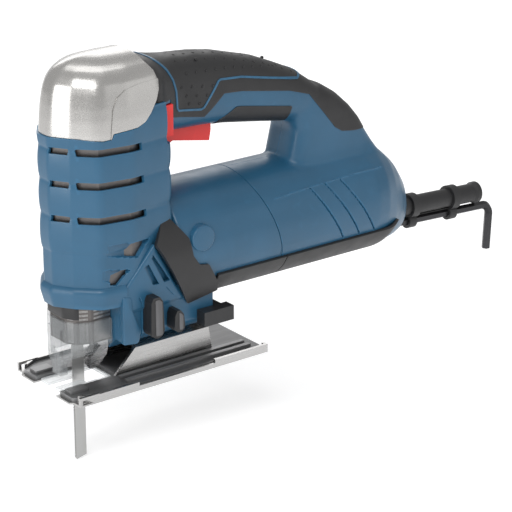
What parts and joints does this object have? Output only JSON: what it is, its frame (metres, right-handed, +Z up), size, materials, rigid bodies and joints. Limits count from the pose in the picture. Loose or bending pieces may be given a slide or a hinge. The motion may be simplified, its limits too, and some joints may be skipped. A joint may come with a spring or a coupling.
{
  "type": "jigsaw power tool",
  "caption": "Corded jigsaw with a top D-handle, tall vented head with metal cap, tilting base plate, clear blade guard and a reciprocating blade.",
  "frame": {"origin": "on the bevel axis, at the middle of the base plate's length and width, in the plane of the sole", "axes": "+X towards the rear (cutting direction is -X), +Y towards the tool's right side, +Z up out of the base plate"},
  "size_m": [0.3625, 0.0758, 0.252],
  "materials": {
    "blue_plastic": "satin moulded, teal-blue",
    "black_rubber": "soft overmould, matt",
    "black_plastic": "moulded, fine texture",
    "red_plastic": "satin moulded",
    "cap_metal": "silver lacquer over cast metal",
    "cast_aluminium": "die cast, lightly blasted",
    "bright_steel": "ground and polished",
    "zinc_sheet": "bright zinc plated sheet",
    "dark_sheet": "dark grey coated sheet",
    "steel_laminations": "stacked laminations, varnished",
    "copper_winding": "enamelled copper",
    "bronze": "sintered bronze",
    "blade_steel": "white coated blade",
    "black_oxide": "black oxide on hardened steel",
    "clear_plastic": "clear polycarbonate",
    "circuit_board": "potted circuit board"
  },
  "bodies": {
    "housing": {"head_cover": "blue_plastic", "head_cap": "cap_metal", "front_plate": "black_plastic", "gear_housing": "cast_aluminium", "bearing_plate": "cast_aluminium", "plunger_bushes": "bronze", "gear_bearing": "bright_steel", "motor_housing": "blue_plastic", "motor_bearings": "bright_steel", "rear_bearing_bracket": "black_plastic", "stator": "steel_laminations", "brush_holders": "bronze", "carbon_brushes": "black_plastic", "housing_left": "blue_plastic", "housing_right": "blue_plastic", "top_grip": "black_rubber", "finger_grip": "black_rubber", "side_panel_left": "black_rubber", "side_panel_right": "black_rubber", "bottom_bumper": "black_rubber", "foot_cover": "blue_plastic", "switch_body": "black_plastic", "electronics_module": "circuit_board", "cord_clamp": "black_plastic", "cable_sleeve": "black_rubber", "hex_key_clip": "black_plastic", "housing_screws": "bright_steel", "base_clamp_screw": "bright_steel", "clamp_pad": "bronze", "blade_guard": "clear_plastic", "arm_pivot_pin": "bright_steel"},
    "crank": {"crank_gear": "bright_steel", "gear_shaft": "bright_steel", "crank_pin": "bright_steel", "counterweight": "bright_steel"},
    "armature": {"armature_shaft": "bright_steel", "armature_core": "copper_winding", "commutator": "copper_winding", "fan": "black_plastic", "pinion": "bright_steel"},
    "plunger": {"plunger_rod": "bright_steel", "yoke": "bright_steel", "blade_clamp": "bright_steel", "blade": "blade_steel"},
    "release_ring": {"clamp_ring": "black_plastic"},
    "guide_arm": {"roller_arm": "bright_steel", "roller_axle": "bright_steel"},
    "roller": {"guide_roller": "bright_steel"},
    "trigger": {"trigger": "red_plastic", "trigger_spring": "bright_steel"},
    "lock": {"lock_slide": "red_plastic"},
    "orbital_control": {"orbital_lever": "black_plastic"},
    "blower_control": {"blower_lever": "black_plastic"},
    "base_lock": {"base_lock_lever": "black_plastic"},
    "base": {"base_plate": "dark_sheet", "slide_shoe": "zinc_sheet", "saddle": "zinc_sheet", "slot_insert": "clear_plastic"},
    "key": {"hex_key": "black_oxide"}
  },
  "joints": [
    {"name": "crank_spin", "type": "hinge", "parent": "housing", "child": "crank", "pos_m": [0, 0, 0.1064], "axis": [1, 0, 0], "continuous": true},
    {"name": "armature_spin", "type": "hinge", "parent": "housing", "child": "armature", "pos_m": [0, 0, 0.077], "axis": [1, 0, 0], "continuous": true},
    {"name": "plunger_stroke", "type": "slide", "parent": "housing", "child": "plunger", "axis": [0, 0, 1], "range_m": [-0.013, 0.013]},
    {"name": "clamp_release", "type": "hinge", "parent": "plunger", "child": "release_ring", "pos_m": [-0.0468, 0, 0.036], "axis": [0, 0, 1], "range_deg": [0, 60], "stiffness_Nm_per_rad": 0.05, "springref_deg": -11.46},
    {"name": "orbital_rock", "type": "hinge", "parent": "housing", "child": "guide_arm", "pos_m": [-0.027, 0, 0.038], "axis": [0, 1, 0], "range_deg": [-4, 0]},
    {"name": "roller_spin", "type": "hinge", "parent": "guide_arm", "child": "roller", "pos_m": [-0.03755, 0, 0.011], "axis": [0, 1, 0], "continuous": true},
    {"name": "trigger_pull", "type": "slide", "parent": "housing", "child": "trigger", "axis": [0, 0, 1], "range_m": [0, 0.005], "stiffness_N_per_m": 500, "springref_m": -0.002, "deforming": ["trigger_spring"]},
    {"name": "lock_push", "type": "slide", "parent": "housing", "child": "lock", "axis": [0, 1, 0], "range_m": [-0.0015, 0.0015]},
    {"name": "orbital_select", "type": "hinge", "parent": "housing", "child": "orbital_control", "pos_m": [-0.015, -0.035, 0.037], "axis": [0, 1, 0], "range_deg": [-25, 35]},
    {"name": "blower_select", "type": "hinge", "parent": "housing", "child": "blower_control", "pos_m": [0.001, -0.035, 0.036], "axis": [0, 1, 0], "range_deg": [0, 40]},
    {"name": "base_lock_swing", "type": "hinge", "parent": "housing", "child": "base_lock", "pos_m": [0.0385, 0, 0.034], "axis": [0, 0, 1], "range_deg": [0, 50]},
    {"name": "base_tilt", "type": "hinge", "parent": "housing", "child": "base", "pos_m": [0, 0, 0], "axis": [1, 0, 0], "range_deg": [-45, 45]},
    {"name": "hex_key_pull", "type": "slide", "parent": "housing", "child": "key", "axis": [0.9989, 0, -0.0471], "range_m": [0, 0.08]}
  ],
  "couplings": [
    {"joint": "armature_spin", "follows": "crank_spin", "ratio": -4.4444}
  ]
}
